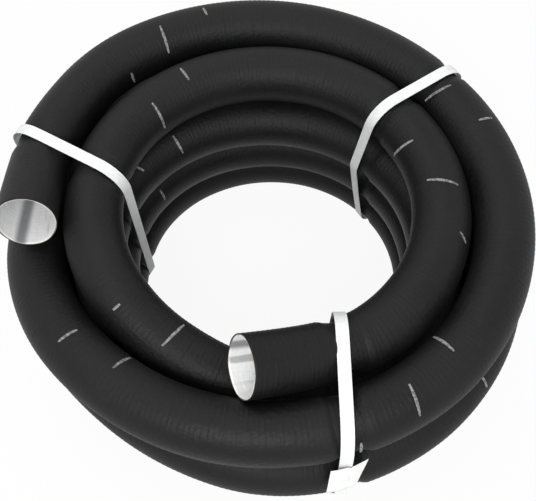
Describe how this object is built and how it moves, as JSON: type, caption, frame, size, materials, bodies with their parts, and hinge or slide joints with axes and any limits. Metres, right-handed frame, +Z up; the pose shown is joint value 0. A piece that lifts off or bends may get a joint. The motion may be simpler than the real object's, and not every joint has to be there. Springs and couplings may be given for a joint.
{
  "type": "flexible air duct",
  "caption": "Coil of black flexible air duct with a foil-lined bore and two open mouths, tied flat with plastic straps for storage.",
  "frame": {"origin": "centre of the coil's box at the underside of the straps", "axes": "+Z up along the coil's axis; the open mouths point to -X and -Y; the front strap is at -Y"},
  "size_m": [0.5572, 0.5552, 0.2897],
  "materials": {
    "duct_film": "black plastic film over a paper and foil laminate, satin, finely corrugated",
    "paper_ply": "brown kraft paper, seen at the cut edge of each mouth",
    "foil_liner": "bright crinkled aluminium foil",
    "strap": "white polypropylene strapping, satin, lightly ribbed",
    "label_paper": "bare white paper, folded once"
  },
  "bodies": {
    "root": {"inner_turn_1": "duct_film", "inner_turn_2": "duct_film", "inner_turn_3": "duct_film", "inner_turn_4": "duct_film", "crossover_turn": "duct_film", "outer_turn_4": "duct_film", "outer_turn_3": "duct_film", "outer_turn_2": "duct_film", "outer_turn_1": "duct_film", "inner_mouth_film": "duct_film", "inner_mouth_paper": "paper_ply", "inner_mouth_foil": "foil_liner", "outer_mouth_film": "duct_film", "outer_mouth_paper": "paper_ply", "outer_mouth_foil": "foil_liner", "left_strap": "strap", "right_strap": "strap", "front_strap": "strap", "strap_label": "label_paper"}
  },
  "joints": []
}
